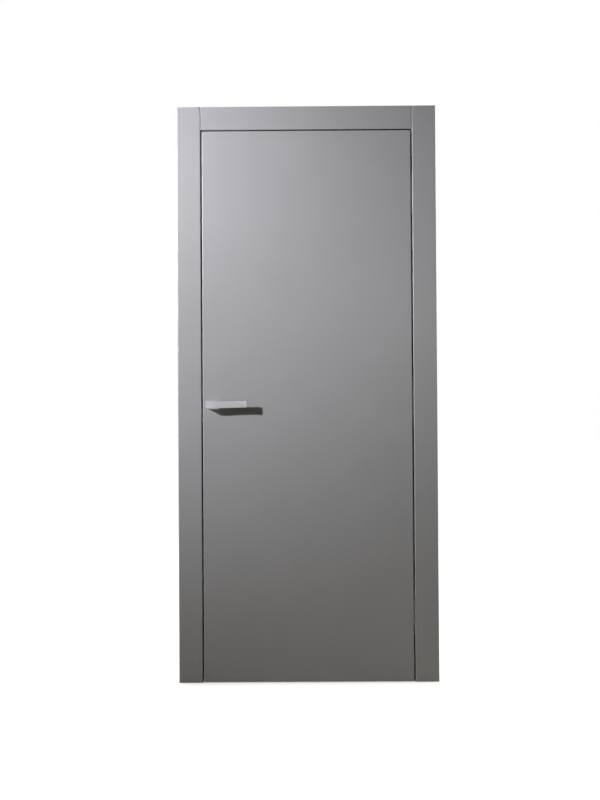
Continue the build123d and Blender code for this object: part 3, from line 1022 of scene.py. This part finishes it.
# Each lamp's name, place, aim, size in metres, spread in degrees, power in watts and colour
LAMPS_IN_FRONT = (
    ("key_left", (-4.45, -3.74, 3.03), (-1.84, -0.06, 1.88), 0.3, 34.0, 11.4, (1.0, 0.985, 1.03)),
    ("key_top", (-3.79, -3.08, 2.67), (-1.38, -0.06, 2.28), 0.25, 23.0, 2.0, (0.99, 0.99, 1.03)),
    ("key_right", (-3.06, -2.36, 2.28), (0.04, -0.06, 1.4), 0.2, 66.0, 16.3, (1.0, 0.985, 0.95)),
    ("side_left", (-5.0, -0.62, 2.9), (-0.45, -0.06, 2.3), 0.8, 30.0, 7.6, (0.99, 1.0, 1.02)),
)
LAMPS_BEHIND = (
    ("rear_left", (-3.2, 3.2, 2.6), (-0.45, 0.05, 1.1), 1.2, 110.0, 31.0, (1.0, 1.0, 1.0)),
    ("rear_right", (2.8, 2.6, 2.8), (-0.45, 0.05, 1.1), 1.2, 110.0, 20.0, (1.0, 1.0, 1.0)),
    ("side_right", (4.2, 0.25, 2.2), (0.0, 0.1, 1.0), 1.0, 90.0, 9.0, (1.0, 1.0, 1.0)),
)


def add_lamp(name, place, aim, size, spread, power, colour):
    """A square soft lamp that points at aim, its beam fading out at half its spread to each side."""
    data = bpy.data.lights.new(name, "AREA")
    data.shape = "SQUARE"
    data.size = size
    data.spread = math.radians(spread)
    data.energy = power
    data.color = colour
    lamp = bpy.data.objects.new(name, data)
    bpy.context.scene.collection.objects.link(lamp)
    lamp.location = place
    lamp.rotation_euler = (Vector(aim) - Vector(place)).to_track_quat("-Z", "Y").to_euler()


def seen_directly(tree):
    """1 for camera, glossy and transmission rays, 0 for the light that falls on things."""
    path = tree.nodes.new("ShaderNodeLightPath")
    seen = maths(tree, "MAXIMUM", path.outputs["Is Camera Ray"], path.outputs["Is Glossy Ray"])
    return maths(tree, "MAXIMUM", seen, path.outputs["Is Transmission Ray"])


def build_world(level):
    """White where it is seen or reflected, and a low even light everywhere else."""
    world = bpy.data.worlds.new("plain_room")
    world.use_nodes = True
    tree = world.node_tree
    tree.nodes.clear()
    output = tree.nodes.new("ShaderNodeOutputWorld")
    background = tree.nodes.new("ShaderNodeBackground")
    background.inputs["Color"].default_value = (1.0, 1.0, 1.0, 1.0)
    strength = remap(tree, seen_directly(tree), (0.0, 1.0), (level, 1.0))
    tree.links.new(strength, background.inputs["Strength"])
    tree.links.new(background.outputs["Background"], output.inputs["Surface"])
    bpy.context.scene.world = world


def build_floor(size):
    """A pale floor that looks white to the camera away from the door, keeps the door's shadow, and has a
    painted contact shade round whatever stands on it.
    """
    half = size / 2
    mesh = bpy.data.meshes.new("floor")
    corners = [(-half, -half, 0), (half, -half, 0), (half, half, 0), (-half, half, 0)]
    mesh.from_pydata(corners, [], [(0, 1, 2, 3)])
    floor = bpy.data.objects.new("floor", mesh)
    bpy.context.scene.collection.objects.link(floor)
    tree, shader, position = new_material("pale_floor")
    shader.inputs["Roughness"].default_value = 0.9
    shader.inputs["Specular IOR Level"].default_value = 0.1
    away = vector_maths(tree, "LENGTH", position).outputs["Value"]
    fade = remap(tree, away, (GLOW_FROM, GLOW_TO), (GLOW_NEAR, GLOW_FAR))
    # Painted contact shade: ambient occlusion darkens the floor's glow under and beside whatever stands on
    # it
    near = add(tree, "ShaderNodeAmbientOcclusion", samples=8, inputs={"Distance": CONTACT_SHADE_REACH})
    painted_contact_shade = remap(tree, near.outputs["AO"], (0.0, 0.8), (CONTACT_SHADE_GLOW, 1.0))
    glow = maths(tree, "MULTIPLY", seen_directly(tree), maths(tree, "MULTIPLY", fade, painted_contact_shade))
    film = use_group(tree, "sprayed_film", position, Ripples_per_metre=120.0, Patches_per_metre=2.0)
    tint(tree, shader, film.outputs["Patch"], *FLOOR_COLOURS)
    shader.inputs["Emission Color"].default_value = (1.0, 1.0, 1.0, 1.0)
    tree.links.new(glow, shader.inputs["Emission Strength"])
    mesh.materials.append(bpy.data.materials["pale_floor"])


def build_camera(s):
    """The camera at the photograph's view."""
    data = bpy.data.cameras.new("view")
    data.lens = s.lens
    data.sensor_width = 36.0
    data.dof.use_dof = False
    camera = bpy.data.objects.new("view", data)
    bpy.context.scene.collection.objects.link(camera)
    camera.location = s.camera_place
    camera.rotation_euler = s.camera_turn
    bpy.context.scene.camera = camera


class DOOR_OT_stage(Operator):
    """Set up the camera, the pale floor, the white surroundings and the lamps"""

    bl_idname = "door.stage"
    bl_label = "Stage"

    def execute(self, context):
        settings = context.scene.door_stage
        context.scene.view_settings.view_transform = "Standard"
        build_camera(settings)
        build_world(settings.room_level)
        build_floor(settings.floor_size)
        for level, lamps in ((settings.key_level, LAMPS_IN_FRONT), (settings.rear_level, LAMPS_BEHIND)):
            for name, place, aim, size, spread, power, colour in lamps:
                add_lamp(name, place, aim, size, spread, power * level, colour)
        return {"FINISHED"}


SETTINGS = {
    "door_enamel": DoorEnamelSettings,
    "door_handle": DoorHandleSettings,
    "door_fittings": DoorFittingSettings,
    "door_stage": DoorStageSettings,
}

OPERATORS = (
    DOOR_OT_finishes,
    DOOR_OT_levers,
    DOOR_OT_hinge_fittings,
    DOOR_OT_lock_fittings,
    DOOR_OT_stage,
)


class DOOR_PT_panel(Panel):
    """The door's steps and settings"""

    bl_idname = "DOOR_PT_panel"
    bl_label = "Interior door"
    bl_space_type = "VIEW_3D"
    bl_region_type = "UI"
    bl_category = "Door"

    def draw(self, context):
        for operator in OPERATORS:
            self.layout.operator(operator.bl_idname)
        for name, group in SETTINGS.items():
            box = self.layout.box()
            for label in group.__annotations__:
                box.prop(getattr(context.scene, name), label)


CLASSES = (*SETTINGS.values(), *OPERATORS, DOOR_PT_panel)


def register():
    """Register the settings, the operators and the panel."""
    for cls in CLASSES:
        bpy.utils.register_class(cls)
    for name, group in SETTINGS.items():
        setattr(bpy.types.Scene, name, PointerProperty(type=group))


def unregister():
    """Take everything out again."""
    for name in SETTINGS:
        delattr(bpy.types.Scene, name)
    for cls in reversed(CLASSES):
        bpy.utils.unregister_class(cls)


def main():
    """Run the operators in order."""
    register()
    bpy.ops.door.finishes()
    bpy.ops.door.levers()
    bpy.ops.door.hinge_fittings()
    bpy.ops.door.lock_fittings()
    bpy.ops.door.stage()


if __name__ == "__main__":
    main()
